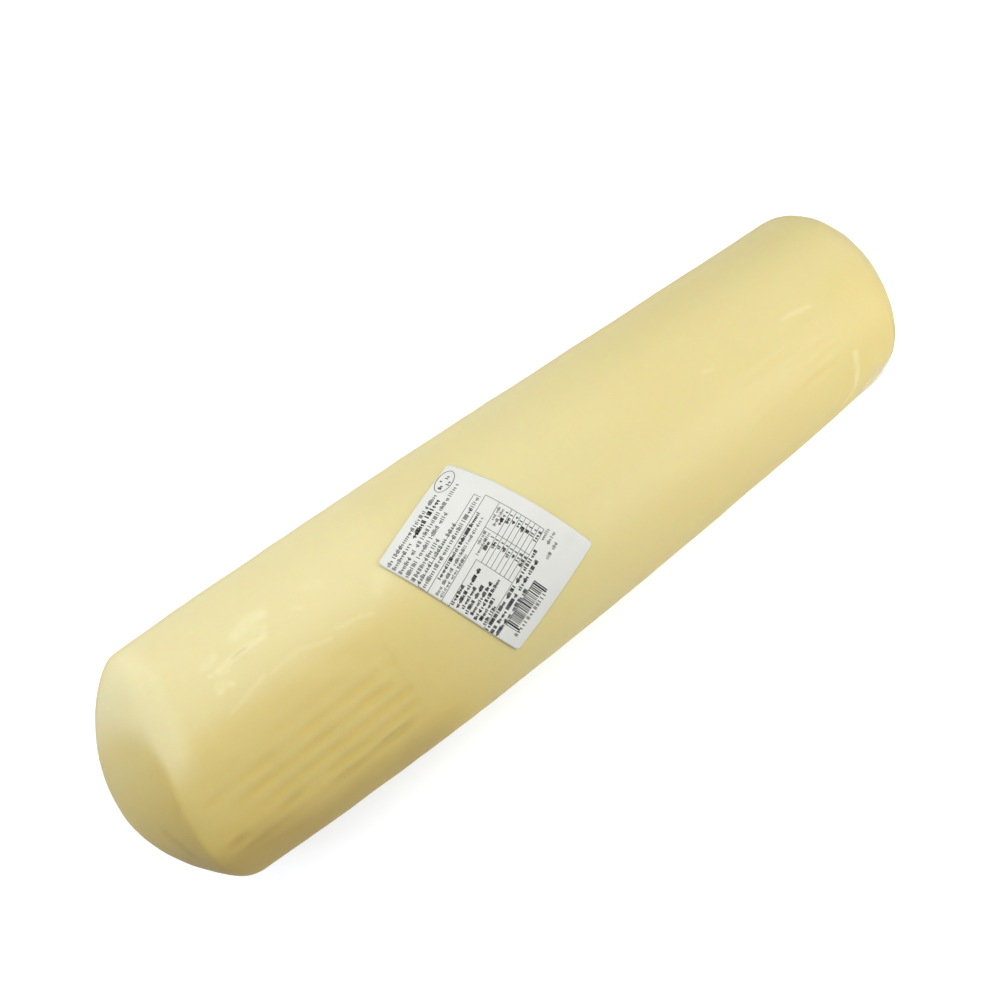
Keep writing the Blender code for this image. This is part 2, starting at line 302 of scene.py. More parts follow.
# each fold: its route as (x, angle) points, its half width, its height and how white it is
folds = [
    ([(-0.179, 103.1), (-0.172, 101.3), (-0.166, 99.8), (-0.16, 98.4)], 0.0006, 0.0001, 0.24),
    ([(-0.156, 99.2), (-0.15, 98.4), (-0.1445, 98.0)], 0.00055, 0.00008, 0.22),
    ([(-0.142, 97.6), (-0.139, 98.9), (-0.135, 99.9)], 0.0007, 0.00008, 0.22),
    ([(-0.136, 99.6), (-0.1325, 101.0), (-0.129, 101.4)], 0.0006, 0.00008, 0.24),
    ([(-0.124, 99.6), (-0.12, 100.6), (-0.1165, 100.6)], 0.0006, 0.00008, 0.24),
    ([(-0.114, 100.8), (-0.1115, 101.9), (-0.1085, 102.8)], 0.0006, 0.00008, 0.26),
    ([(-0.175, 86.2), (-0.17, 85.7), (-0.165, 84.7), (-0.16, 84.7), (-0.151, 85.0)], 0.0012, 0.00012, 0.5),
    ([(-0.1675, 85.3), (-0.164, 84.7), (-0.159, 84.9)], 0.00065, 0.00014, 0.45),
    ([(-0.1634, 77.6), (-0.1628, 81.0), (-0.1632, 84.6)], 0.0012, 0.00004, 0.12),
    ([(-0.152, 84.8), (-0.1496, 82.9), (-0.1482, 81.4)], 0.0006, 0.0001, 0.48),
    ([(-0.1512, 82.2), (-0.1506, 80.2), (-0.1488, 78.4), (-0.1496, 76.6)], 0.0009, 0.00006, 0.24),
    ([(-0.16, 82.8), (-0.156, 81.2), (-0.153, 79.6)], 0.002, 0.00003, 0.22),
    ([(-0.161, 77.4), (-0.156, 76.2), (-0.152, 75.2), (-0.147, 75.8)], 0.0023, 0.00004, 0.46),
    ([(-0.18, 81.4), (-0.1775, 80.2), (-0.1752, 79.2), (-0.1735, 79.8)], 0.0012, 0.00008, 0.34),
    ([(-0.1792, 81.9), (-0.1762, 81.9), (-0.1742, 80.6)], 0.00075, 0.0001, 0.42),
    ([(-0.1792, 85.9), (-0.1768, 87.0), (-0.1742, 88.0), (-0.1712, 88.4)], 0.00062, 0.0001, 0.42),
    ([(-0.1792, 91.2), (-0.1766, 90.2), (-0.1748, 91.6)], 0.0006, 0.00008, 0.3),
    ([(-0.179, 93.9), (-0.1765, 92.9), (-0.1745, 92.6), (-0.1728, 93.7)], 0.00105, 0.00012, 0.44),
    ([(-0.1342, 82.2), (-0.1328, 82.9), (-0.1314, 84.4)], 0.00055, 0.00008, 0.28),
    ([(-0.1245, 77.0), (-0.1215, 78.2), (-0.119, 79.8)], 0.0018, 0.00004, 0.18),
    ([(-0.101, 96.6), (-0.099, 94.8), (-0.0968, 93.4)], 0.0021, 0.00005, 0.26),
    ([(0.147, 104.2), (0.153, 104.9), (0.159, 105.9), (0.1642, 107.0)], 0.0008, 0.00006, 0.34),
    ([(0.1779, 142.6), (0.1775, 150.0), (0.1782, 160.0), (0.1796, 170.3)], 0.0007, 0.00008, 0.42),
    ([(0.1785, 165.0), (0.1745, 170.5), (0.1696, 173.8)], 0.0006, 0.00006, 0.34),
    ([(0.1912, 150.5), (0.194, 158.0), (0.1985, 165.0)], 0.0006, 0.00006, 0.16),
    ([(0.0896, 102.0), (0.092, 102.6), (0.0944, 103.2)], 0.0008, 0.00002, 0.25),
    ([(0.0064, 119.0), (0.0078, 124.0), (0.0066, 129.0), (0.0076, 133.0)], 0.00022, 0.00006, 0.25),
]


def smoothRoute(route, count):
    # a Catmull-Rom curve through the route's points, as count points
    knots = np.array(route, float)
    knots = np.concatenate([2.0 * knots[:1] - knots[1:2], knots, 2.0 * knots[-1:] - knots[-2:-1]])
    t = np.linspace(0.0, len(route) - 1.0 - 1e-9, count)
    k = t.astype(int)
    f = (t - k)[:, None]
    a, b, c, d = knots[k], knots[k + 1], knots[k + 2], knots[k + 3]
    square = 2.0 * a - 5.0 * b + 4.0 * c - d
    cube = 3.0 * b - a - 3.0 * c + d
    return 0.5 * (2.0 * b + (c - a) * f + square * f**2 + cube * f**3)


def nearness(u, v, line, reach):
    # exp(-(d / reach)^2), d being the distance from (u, v) to the nearest of the line's points
    weight = np.zeros(u.shape)
    low, high = line.min(0) - 3.0 * reach, line.max(0) + 3.0 * reach
    close = (u > low[0]) & (u < high[0]) & (v > low[1]) & (v < high[1])
    apart = np.hypot(u[close][:, None] - line[:, 0], v[close][:, None] - line[:, 1]).min(1)
    weight[close] = np.exp(-(apart / reach)**2)
    return weight


faceEdge = 0.0024      # the gap between dome and face over which the face's colour comes in


def onFace(x, share, angle):
    # 1 on the pressed face and 0 outside its crease, from how far the dome would stand out over the face
    dome = domeOut(np.minimum(share, 1.0), True)
    gap = dome - faceOut(share, np.radians(angle))
    return smoothStep(0.5 + gap / faceEdge) * (x < 0.0) * (share < 1.0)


# how far a fold's paleness spreads, in its half widths and at least in metres, and how strong it is
foldPaleness = dict(spread=1.25, leastReach=0.0009, strength=1.6)
# pale washes of painted sheen over the blunt half and its dome: from and to along X, from and to angle,
# eases, strength
paintedSheenWashes = [
    (-0.23, -0.095, 42.0, 97.0, 0.022, 12.0, 0.22),
    (-0.3, -0.206, 48.0, 104.0, 0.01, 16.0, 0.48),
]


def foldPalenessAndPaintedSheen(x, share, angle):
    # the cheese painted paler: a soft band along each fold, partly the paler look of film folded over
    # itself and partly painted highlight, and the washes, which are painted sheen
    arc = np.radians(angle) * logForm["midRadius"]
    total = np.zeros(x.shape)
    f = foldPaleness
    for route, width, _, white in folds:
        line = smoothRoute(route, 60)
        line = np.stack([line[:, 0], np.radians(line[:, 1]) * logForm["midRadius"]], 1)
        reach = max(f["spread"] * width, f["leastReach"])
        total = np.maximum(total, f["strength"] * white * nearness(x, arc, line, reach))
    total = total * (share >= 1.0)
    for start, end, fromAngle, toAngle, ease, angleEase, strength in paintedSheenWashes:
        paintedSheen = window(x, start, end, ease) * window(angle, fromAngle, toAngle, angleEase)
        total = total + strength * paintedSheen * (1.0 - total)
    return np.minimum(total, 1.0) * (1.0 - onFace(x, share, angle))


# creases pressed into the blunt face: route as (share of the radius, angle), half width and depth
faceLines = [
    dict(route=[(0.945, 121.0), (0.936, 123.0), (0.916, 127.5)], width=0.0014, depth=0.00028),
    dict(route=[(0.74, 133.0), (0.77, 137.0), (0.813, 141.5), (0.845, 149.5)],
         width=0.0022, depth=0.0003),
]


def faceCreases(x, share, angle):
    # bells along the lines, measured in the face's own plane
    turn = np.radians(angle)
    radius = radiusAt(-1.0)
    total = np.zeros(x.shape)
    for crease in faceLines:
        line = smoothRoute(crease["route"], 40)
        lineTurn = np.radians(line[:, 1])
        line = radius * line[:, :1] * np.stack([np.cos(lineTurn), np.sin(lineTurn)], 1)
        bell = nearness(radius * share * np.cos(turn), radius * share * np.sin(turn), line, crease["width"])
        total += crease["depth"] * bell
    return total * (share < 1.0) * (x < 0.0)


def cheeseRelief(x, share, angle):
    # height over the plain form: minus the grooves and the pressed panel, plus marks and slight unevenness
    body = share >= 1.0
    relief = -grooves(x, angle)
    p = ribPanel
    panel = smoothStep((x - p["low"]) / p["easeIn"] + 1.0) * smoothStep((p["high"] - x) / p["easeOut"])
    panel = panel * window(angle, p["fromAngle"], p["toAngle"], p["angleEase"])
    q = nearPatch
    patch = window(x, q["low"], q["high"], q["ease"])
    patch = patch * window(angle, q["fromAngle"], q["toAngle"], q["angleEase"])
    relief += q["height"] * patch - p["depth"] * panel
    for place, turn, halfLength, halfTurn, height in marks:
        relief += height * np.exp(-((x - place) / halfLength)**2 - ((angle - turn) / halfTurn)**2)
    relief = relief * body * smoothStep((x - bodyFrom["x"]) / bodyFrom["ease"])
    relief = relief - faceCreases(x, share, angle)
    arc = np.radians(angle) * logForm["midRadius"]
    reach = x + np.where(body, 0.0, np.sign(x) * (1.0 - share) * logForm["midRadius"])
    u = unevenness
    fade = smoothStep(share * 3.0)      # nothing at the poles
    relief += fade * u["broad"] * waves(reach, arc, u["broadSeed"], u["broadSize"])
    relief += fade * u["small"] * waves(reach, arc, u["smallSeed"], u["smallSize"], u["smallWaves"])
    return relief


def gridNormals(points):
    # unit normals of a grid of points, closed round its second direction
    along = np.gradient(points, axis=0)
    across = np.roll(points, -1, 1) - np.roll(points, 1, 1)
    normal = np.cross(along, across)
    normal /= np.linalg.norm(normal, axis=-1, keepdims=True)
    middle = points.mean((0, 1))
    outward = np.einsum("ijk,ijk->ij", normal, points - middle).sum()
    return normal if outward > 0.0 else -normal


def closedTube(grid, poles):
    # rings joined side by side, and a fan of triangles to a pole at each end
    rings, count = grid.shape[:2]
    i, j = np.meshgrid(np.arange(rings - 1), np.arange(count), indexing="ij")
    after = (j + 1) % count
    quads = np.stack([i * count + j, i * count + after, (i + 1) * count + after, (i + 1) * count + j], -1)
    start = np.arange(count)
    last = (rings - 1) * count
    fans = np.concatenate([
        np.stack([np.full(count, rings * count), (start + 1) % count, start], 1),
        np.stack([np.full(count, rings * count + 1), last + start, last + (start + 1) % count], 1),
    ])
    points = np.concatenate([grid.reshape(-1, 3), np.asarray(poles)])
    return points, [quads.reshape(-1, 4), fans]


ringX, ringShare = ringTable()
angles = ringAngles()
gridX, gridAngle = np.meshgrid(ringX, angles, indexing="ij")
gridShare = np.broadcast_to(ringShare[:, None], gridX.shape)
plainSkin = skinPoints(gridX, gridShare, gridAngle)
half = logForm["bodyLength"] / 2.0
plainPoles = np.stack([skinPoints(np.array(end * half), np.array(0.0), np.array(90.0)) for end in (-1, 1)])

# the CAD box says where the form's footprint centre goes
low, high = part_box("wrapped_cheese")
place = np.array([
    0.5 * (low.x + high.x) - 0.5 * (plainSkin[..., 0].min() + plainSkin[..., 0].max()),
    0.5 * (low.y + high.y) - 0.5 * (plainSkin[..., 1].min() + plainSkin[..., 1].max()),
    0.0,
])
plainSkin = plainSkin + place
plainPoles = plainPoles + place
skinNormals = gridNormals(plainSkin)
relief = cheeseRelief(gridX, gridShare, gridAngle)
print("skin worked out:", plainSkin.shape, "placed by", place.round(5))

# heights over the plain skin, the share of the relief that the film follows, and the gaps underneath
layers = dict(cheese=-0.00034, film=-0.00022, filmFollows=0.75, filmHighest=-0.00002, floorGap=0.0002,
              underCheese=0.0003)


def skinLayer(lift, floor):
    # the plain skin moved along its normals by lift, and pressed flat at floor underneath
    points = plainSkin + skinNormals * lift[..., None]
    poles = plainPoles.copy()
    poles[:, 0] += np.array([-lift[0].mean(), lift[-1].mean()])
    points[..., 2] = np.maximum(points[..., 2], floor)
    return closedTube(points, poles)


# helpers for the finishes

def newMaterial(name):
    # a node material, with its node tree and its shader
    material = bpy.data.materials.new(name)
    material.use_nodes = True
    tree = material.node_tree
    return material, tree, tree.nodes["Principled BSDF"]


def setSockets(node, **values):
    # constants straight on the sockets, an underscore standing for a space in a socket's name
    for key, value in values.items():
        node.inputs[key.replace("_", " ")].default_value = value


def objectNoise(tree, scale, detail, stretch=(1.0, 1.0, 1.0)):
    # noise on the object's own coordinates, in cycles for a metre
    place = tree.nodes.new("ShaderNodeTexCoord")
    mapping = tree.nodes.new("ShaderNodeMapping")
    mapping.inputs["Scale"].default_value = stretch
    noise = tree.nodes.new("ShaderNodeTexNoise")
    setSockets(noise, Scale=scale, Detail=detail, Roughness=0.55)
    tree.links.new(place.outputs["Object"], mapping.inputs["Vector"])
    tree.links.new(mapping.outputs["Vector"], noise.inputs["Vector"])
    return noise.outputs["Fac"]


def ramp(tree, factor, stops):
    # colours blended in straight lines between the stops (position, colour)
    node = tree.nodes.new("ShaderNodeValToRGB")
    elements = node.color_ramp.elements
    elements[0].position, elements[0].color = stops[0][0], (*stops[0][1], 1.0)
    elements[1].position, elements[1].color = stops[-1][0], (*stops[-1][1], 1.0)
    for position, colour in stops[1:-1]:
        elements.new(position).color = (*colour, 1.0)
    tree.links.new(factor, node.inputs["Fac"])
    return node.outputs["Color"]


def mathNode(tree, operation, first, second, third=None):
    # one Math node; what is a plain number is set on it and the rest is linked
    node = tree.nodes.new("ShaderNodeMath")
    node.operation = operation
    for k, value in enumerate((first, second, third)):
        if value is None:
            continue
        if isinstance(value, (int, float)):
            node.inputs[k].default_value = value
        else:
            tree.links.new(value, node.inputs[k])
    return node.outputs["Value"]


def mixColour(tree, factor, first, second):
    # first * (1 - factor) + second * factor, second being a fixed colour
    node = tree.nodes.new("ShaderNodeMix")
    node.data_type = "RGBA"
    tree.links.new(factor, node.inputs[0])
    tree.links.new(first, node.inputs[6])
    node.inputs[7].default_value = (*second, 1.0)
    return node.outputs[2]


def attributeNode(tree, name):
    # a number that each point of the mesh carries
    node = tree.nodes.new("ShaderNodeAttribute")
    node.attribute_name = name
    return node.outputs["Fac"]


def addBump(tree, shader, height, strength, distance):
    # tilts the shading by the slope of height * distance
    bump = tree.nodes.new("ShaderNodeBump")
    setSockets(bump, Strength=strength, Distance=distance)
    tree.links.new(height, bump.inputs["Height"])
    tree.links.new(bump.outputs["Normal"], shader.inputs["Normal"])


# from pale to deeper yellows: the deeper ones are partly the cheese's own tone and partly painted shade
cheeseLook = dict(pale=(0.86, 0.765, 0.385), deepToneAndShade=(0.84, 0.665, 0.215), deepest=(0.62, 0.455, 0.130),
                  # the paler colour is painted sheen, and along the folds partly painted highlight
                  paleFoldsAndSheen=(1.0, 0.90, 0.54), deepAt=0.625,
                  broadScale=16.0, fineScale=150.0, broadShare=0.65, mottle=0.22,
                  roughness=0.50, roughSwing=0.16, gloss=0.15,
                  glow=0.55, glowReach=0.007, glowColour=(1.0, 0.62, 0.22),
                  poreScale=420.0, poreStrength=0.10, poreDepth=0.0004)


def cheeseMaterial():
    # pale yellow to deeper yellow as the tone attribute says, the deeper yellow partly the cheese's own
    # tone and partly painted shade, paler where painted sheen and the folds' pale bands are, with mottling,
    # and light that soaks in
    look = cheeseLook
    material, tree, shader = newMaterial("cheese")
    broad = objectNoise(tree, look["broadScale"], 3.0, (0.6, 1.0, 1.0))
    fine = objectNoise(tree, look["fineScale"], 4.0, (0.5, 1.0, 1.0))
    blend = mathNode(tree, "MULTIPLY", broad, look["broadShare"])
    blend = mathNode(tree, "MULTIPLY_ADD", fine, 1.0 - look["broadShare"], blend)
    shift = mathNode(tree, "MULTIPLY_ADD", blend, 2.0 * look["mottle"], -look["mottle"])
    tone = mathNode(tree, "ADD", attributeNode(tree, "deepToneAndShade"), shift)
    tone = mathNode(tree, "MULTIPLY", tone, look["deepAt"])
    stops = [(0.0, look["pale"]), (look["deepAt"], look["deepToneAndShade"]), (1.0, look["deepest"])]
    toned = ramp(tree, tone, stops)
    # paler where the mesh says so: painted sheen, and bands along the folds that are partly painted
    # highlight
    colour = mixColour(tree, attributeNode(tree, "paleFoldsAndSheen"), toned, look["paleFoldsAndSheen"])
    tree.links.new(colour, shader.inputs["Base Color"])
    swing = look["roughSwing"]
    rough = mathNode(tree, "MULTIPLY_ADD", fine, swing, look["roughness"] - 0.5 * swing)
    tree.links.new(rough, shader.inputs["Roughness"])
    setSockets(shader, Subsurface_Weight=look["glow"], Subsurface_Radius=look["glowColour"],
               Subsurface_Scale=look["glowReach"], Specular_IOR_Level=look["gloss"], IOR=1.45)
    pores = objectNoise(tree, look["poreScale"], 3.0)
    addBump(tree, shader, pores, look["poreStrength"], look["poreDepth"])
    return material


filmLook = dict(colour=(0.93, 0.945, 0.94), roughness=0.48, facing=0.022, edge=0.06, haze=0.006,
                looseHaze=0.38, rippleScale=60.0, rippleStrength=0.25, rippleDepth=0.0008)


def filmMaterial():
    # only its reflections and a little haze show: opacity is facing + edge * (1 - cosine)^5, plus the haze
    look = filmLook
    material, tree, shader = newMaterial("film")
    setSockets(shader, Base_Color=(*look["colour"], 1.0), Metallic=1.0, Roughness=look["roughness"])
    weight = tree.nodes.new("ShaderNodeLayerWeight")
    weight.inputs["Blend"].default_value = 0.5
    grazing = mathNode(tree, "POWER", weight.outputs["Facing"], 5.0)
    haze = mathNode(tree, "MULTIPLY_ADD", attributeNode(tree, "loose"), look["looseHaze"],
                    look["haze"] + look["facing"])
    tree.links.new(mathNode(tree, "MULTIPLY_ADD", grazing, look["edge"], haze), shader.inputs["Alpha"])
    ripples = objectNoise(tree, look["rippleScale"], 2.0, (0.35, 1.0, 1.0))
    addBump(tree, shader, ripples, look["rippleStrength"], look["rippleDepth"])
    return material


foldLook = dict(colour=(1.0, 0.93, 0.55), roughness=0.50, gloss=0.12)


def foldMaterial():
    # film folded over itself: paler along the crest, as the "crest" attribute says, partly its own paler
    # look and partly a painted highlight, and clear at its edges
    material, tree, shader = newMaterial("film_fold")
    setSockets(shader, Base_Color=(*foldLook["colour"], 1.0), Roughness=foldLook["roughness"],
               Specular_IOR_Level=foldLook["gloss"], IOR=1.45)
    tree.links.new(attributeNode(tree, "crest"), shader.inputs["Alpha"])
    return material


paperLook = dict(white=(0.895, 0.905, 0.850), shade=(0.865, 0.875, 0.820), cloudScale=90.0,
                 roughness=0.52, roughSwing=0.12, gloss=0.4, grainScale=2600.0, grainStrength=0.08,
                 grainDepth=0.0001)


def paperMaterial():
    # coated white label stock with a very slight cloudiness and grain
    look = paperLook
    material, tree, shader = newMaterial("paper")
    cloud = objectNoise(tree, look["cloudScale"], 4.0)
    colour = ramp(tree, cloud, [(0.35, look["white"]), (0.70, look["shade"])])
    tree.links.new(colour, shader.inputs["Base Color"])
    grain = objectNoise(tree, look["grainScale"], 2.0)
    swing = look["roughSwing"]
    rough = mathNode(tree, "MULTIPLY_ADD", grain, swing, look["roughness"] - 0.5 * swing)
    tree.links.new(rough, shader.inputs["Roughness"])
    setSockets(shader, Specular_IOR_Level=look["gloss"])
    addBump(tree, shader, grain, look["grainStrength"], look["grainDepth"])
    return material


inkLook = dict(dark=(0.004, 0.004, 0.005), faint=(0.075, 0.075, 0.073), speckleScale=1700.0,
               speckle=0.35, darker=0.17, roughness=0.6, gloss=0.3)


def inkMaterial():
    # thermal print: each mark carries its own strength, and the print is slightly uneven
    look = inkLook
    material, tree, shader = newMaterial("ink")
    speckle = objectNoise(tree, look["speckleScale"], 2.0)
    fade = attributeNode(tree, "fade")
    strength = mathNode(tree, "MULTIPLY_ADD", speckle, look["speckle"], fade)
    strength = mathNode(tree, "SUBTRACT", strength, look["darker"])
    colour = ramp(tree, strength, [(0.0, look["dark"]), (1.0, look["faint"])])
    tree.links.new(colour, shader.inputs["Base Color"])
    setSockets(shader, Roughness=look["roughness"], Specular_IOR_Level=look["gloss"])
    return material


cheeseFinish = cheeseMaterial()
filmFinish = filmMaterial()
foldFinish = foldMaterial()
paperFinish = paperMaterial()
inkFinish = inkMaterial()
print("materials made")

# along the slim end's lower corner the cheese falls away and the film bridges over it
looseFilm = dict(x=0.200, angle=180.0, halfLength=0.014, halfTurn=13.0, domeReach=0.055, hollow=0.0011)


def looseness(x, share, angle):
    # a soft bell centred on the corner, falling off towards the crown of the dome
    f = looseFilm
    past = np.where(x >= half, (1.0 - share) * f["domeReach"], 0.0)
    return np.exp(-((x + past - f["x"]) / f["halfLength"])**2 - ((angle - f["angle"]) / f["halfTurn"])**2)


loose = looseness(gridX, gridShare, gridAngle)
cheeseLift = layers["cheese"] + relief - looseFilm["hollow"] * loose
points, faces = skinLayer(cheeseLift, layers["floorGap"] + layers["underCheese"])

# shares of the deeper yellow, partly the cheese's own tone and partly painted shade: over the slim half,
# down the side, on the blunt half's side and low on it, low on the blunt end's corner, on the far side, on
# the slim end's near side, on the pressed face and low on it, in the grooves and in the face's creases, and
# even all round the middles of the two domes
tones = dict(slimTop=0.20, side=0.42, bluntSide=0.50, bluntLow=0.54, corner=0.34, back=0.50,
             slimSide=0.12, face=0.38, faceLow=0.80, groove=0.26, crease=0.22, hub=0.40,
             grooveFull=0.0005, creaseFull=0.0004)      # the depths at which these two are full
# where each starts and over how much it comes in: degrees, metres along X, or shares of the radius
toneEdges = dict(under=(215.0, 50.0), side=(85.0, 90.0), bluntSide=(84.0, 26.0), bluntX=(-0.125, 0.075),
                 bluntLow=(144.0, 26.0), cornerX=(-0.165, -0.035), corner=(132.0, 20.0),
                 back=(44.0, -16.0), backX=(0.0, 0.07), slimSideX=(0.15, 0.04), slimTopX=(-0.03, 0.13),
                 hub=(0.05, 0.80))


def comesIn(value, edge):
    # 0 before the edge's start and 1 past its ease; a negative ease runs the other way
    start, ease = toneEdges[edge]
    return smoothStep((value - start) / ease)


def deepToneAndPaintedShade(x, share, angle):
    # smooth steps down the side, more of them towards the blunt end, and more again over the pressed face:
    # painted shade over the cheese's own deeper tone
    t = tones
    under = 1.0 - comesIn(angle, "under")
    low = comesIn(angle, "side") * under
    flank = comesIn(angle, "bluntSide") * under
    near = 1.0 - comesIn(x, "bluntX")
    side = t["side"] * low + t["bluntSide"] * flank * near
    side = side + t["bluntLow"] * comesIn(angle, "bluntLow") * near * under
    corner = comesIn(x, "cornerX") * comesIn(angle, "corner")
    side = side + t["corner"] * corner * under
    side = side + t["back"] * comesIn(angle, "back") * (0.4 + 0.6 * comesIn(x, "backX"))
    side = side + t["slimSide"] * comesIn(x, "slimSideX") * window(angle, 104.0, 176.0, 10.0)
    hub = 1.0 - comesIn(share, "hub")     # round the domes' middles the sides even out
    deepToneAndShade = t["slimTop"] * comesIn(x, "slimTopX") + side + hub * (t["hub"] - side)
    # deeper in the grooves and the face's creases: painted shade in the recesses
    hollow = np.clip(grooves(x, angle) * (share >= 1.0) / t["grooveFull"], 0.0, 1.0)
    deepToneAndShade = deepToneAndShade + t["groove"] * hollow
    # deeper towards the pressed face's low side, which turns away from the light: painted shade
    fall = smoothStep(0.5 - 0.5 * share * np.sin(np.radians(angle + 35.0)))
    deepToneAndShade = deepToneAndShade + onFace(x, share, angle) * (t["face"] + t["faceLow"] * fall - 0.6 * deepToneAndShade)
    return deepToneAndShade + t["crease"] * faceCreases(x, share, angle) / t["creaseFull"]


deepToneAndShade = np.clip(deepToneAndPaintedShade(gridX, gridShare, gridAngle), 0.0, 1.6)
paleFoldsAndSheen = foldPalenessAndPaintedSheen(gridX, gridShare, gridAngle)
cheese = makePiece("cheese", points, faces, cheeseFinish,
                   {"deepToneAndShade": np.concatenate([deepToneAndShade.ravel(), [deepToneAndShade[0].mean(), deepToneAndShade[-1].mean()]]),
                    "paleFoldsAndSheen": np.concatenate([paleFoldsAndSheen.ravel(), [0.0, 0.0]])})

filmLift = layers["film"] + layers["filmFollows"] * relief
filmLift = np.minimum(filmLift, layers["filmHighest"])
points, faces = skinLayer(filmLift, layers["floorGap"])
film = makePiece("film", points, faces, filmFinish, {"loose": np.concatenate([loose.ravel(), [0.0, 0.0]])})
film.visible_shadow = False
print("cheese and film made")


# folds in the film

def onBody(x, angle, lift):
    # a point on the side at x from the body's middle, lifted straight out from the axis
    turn = np.radians(angle)
    points = skinPoints(x, np.ones_like(x), angle) + place
    return points + np.stack([0.0 * turn, np.cos(turn), np.sin(turn)], -1) * np.asarray(lift)[..., None]


foldForm = dict(count=40, across=9, spread=1.1, endWidth=0.35, taper=0.6, height=0.4, sink=0.00002,
                opacity=0.06)


def foldSheets():
    # across each fold a raised cosine of its height, along it a sine so that both ends run out
    f = foldForm
    count = f["count"]
    tops, bottoms, crests = [], [], []
    s = np.linspace(-1.0, 1.0, f["across"])[None, :]
    for route, width, height, white in folds:
        line = smoothRoute(route, count)
        arc = np.radians(line[:, 1]) * logForm["midRadius"]
        heading = np.stack([np.gradient(line[:, 0]), np.gradient(arc)], 1)
        heading /= np.linalg.norm(heading, axis=1, keepdims=True)
        taper = np.sin(np.linspace(0.0, math.pi, count))[:, None]**f["taper"]
        reach = f["spread"] * s * width * (f["endWidth"] + (1.0 - f["endWidth"]) * taper)
        x = line[:, :1] - reach * heading[:, 1:]
        angle = np.degrees((arc[:, None] + reach * heading[:, :1]) / logForm["midRadius"])
        one = np.ones_like(x)
        base = layers["film"] + layers["filmFollows"] * cheeseRelief(x, one, angle)
        base = np.minimum(base, layers["filmHighest"])
        crest = taper * 0.5 * (1.0 + np.cos(math.pi * s))
        tops.append(onBody(x, angle, base + f["sink"] + f["height"] * height * crest))
        bottoms.append(onBody(x, angle, base - f["sink"]))
        crests.append(np.broadcast_to(f["opacity"] * white * crest, x.shape))
    sheets = np.stack([np.stack(tops), np.stack(bottoms)], 1)
    strength = np.stack([np.stack(crests), 0.0 * np.stack(crests)], 1)     # the underside stays clear
    return sheets, strength, slabFaces(len(folds), count, f["across"])


sheets, strength, faces = foldSheets()
filmFolds = makePiece("film_folds", sheets, [faces], foldFinish, {"crest": strength})
filmFolds.visible_shadow = False
print("folds made:", len(folds))

# the paper label: metres, and degrees for its place round the log and its turn on it
labelForm = dict(width=0.060, height=0.0794, corner=0.0018, x=-0.0510, angle=110.8, turn=-22.9,
                 lift=0.00012, thickness=0.00010, curl=0.00008, footCurl=0.6, curlWidth=0.004,
                 columns=60, rows=72, cornerRows=8)


def labelPoints(along, across, lift):
    # along its lines of print and across them, both measured over the skin and turned against the axis
    turn = math.radians(labelForm["turn"])
    x = labelForm["x"] + along * math.cos(turn) - across * math.sin(turn)
    arc = along * math.sin(turn) + across * math.cos(turn)
    angle = labelForm["angle"] + np.degrees(arc / logForm["midRadius"])
    return onBody(x, angle, lift)


def paperLift(along, across):
    # it lies close, and towards its left edge and its foot it curls up as a square of the distance in
    f = labelForm
    edge = np.clip(1.0 - (along + 0.5 * f["width"]) / f["curlWidth"], 0.0, 1.0)
    foot = np.clip(1.0 - (0.5 * f["height"] - across) / f["curlWidth"], 0.0, 1.0)
    return f["lift"] + f["curl"] * (edge**2 + f["footCurl"] * foot**2)


def makeLabel():
    # rows across the label, each as wide as the rounded corners leave it
    f = labelForm
    straight = 0.5 * f["height"] - f["corner"]
    turns = np.linspace(0.0, 0.5 * math.pi, f["cornerRows"] + 1)[1:]
    ends = straight + f["corner"] * np.sin(turns)
    across = np.concatenate([-ends[::-1], np.linspace(-straight, straight, f["rows"]), ends])
    narrow = f["corner"] * (1.0 - np.cos(turns))
    halves = 0.5 * f["width"] - np.concatenate([narrow[::-1], np.zeros(f["rows"]), narrow])
    along = halves[:, None] * np.linspace(-1.0, 1.0, f["columns"])[None, :]
    across = np.broadcast_to(across[:, None], along.shape)
    lift = paperLift(along, across)
    top = labelPoints(along, across, lift + f["thickness"])
    bottom = labelPoints(along, across, lift)
    return makePiece("label_paper", np.stack([top, bottom]), [slabFaces(1, *along.shape)], paperFinish)


label = makeLabel()

# its print is plain strokes, rules and bars
mm = 0.001
printLook = dict(thickness=0.02, stroke=0.40, fullSize=2.0, heavy=1.5, pitch=0.56, heavyPitch=0.62,
                 wordFrom=3.0, wordTo=10.0, longMark=2.5, seed=11)
draw = np.random.default_rng(printLook["seed"])
printed = []          # left, right, upper, lower and fade, in millimetres from the label's middle


def addBox(left, right, upper, lower, fade):
    # one mark, upper and lower counted downwards as the label is read
    printed.append((left, right, upper, lower, fade))


def addWord(start, end, upper, lower, fade, heavy):
    # a run of upright and short strokes, like print too small to read
    p = printLook
    size = lower - upper
    pitch = size * (p["heavyPitch"] if heavy else p["pitch"])
    stroke = p["stroke"] * (p["heavy"] if heavy else 1.0) * size / p["fullSize"]
    at = start
    while at + 0.6 * pitch < end:
        kind = draw.integers(0, 4)
        shade = fade + draw.uniform(-0.08, 0.12)
        if kind in (0, 1):
            addBox(at, at + stroke, upper, lower, shade)
        if kind in (1, 2):
            side = at + 0.55 * pitch
            addBox(side, side + stroke, upper + 0.3 * size * (kind == 2), lower, shade)
        if kind in (2, 3):
            addBox(at, at + 0.62 * pitch, upper + 0.42 * size, upper + 0.42 * size + 0.9 * stroke, shade)
        if kind == 3:
            addBox(at + 0.2 * pitch, at + 0.2 * pitch + stroke, upper + 0.25 * size, lower, shade)
        at += pitch * draw.uniform(0.95, 1.15)


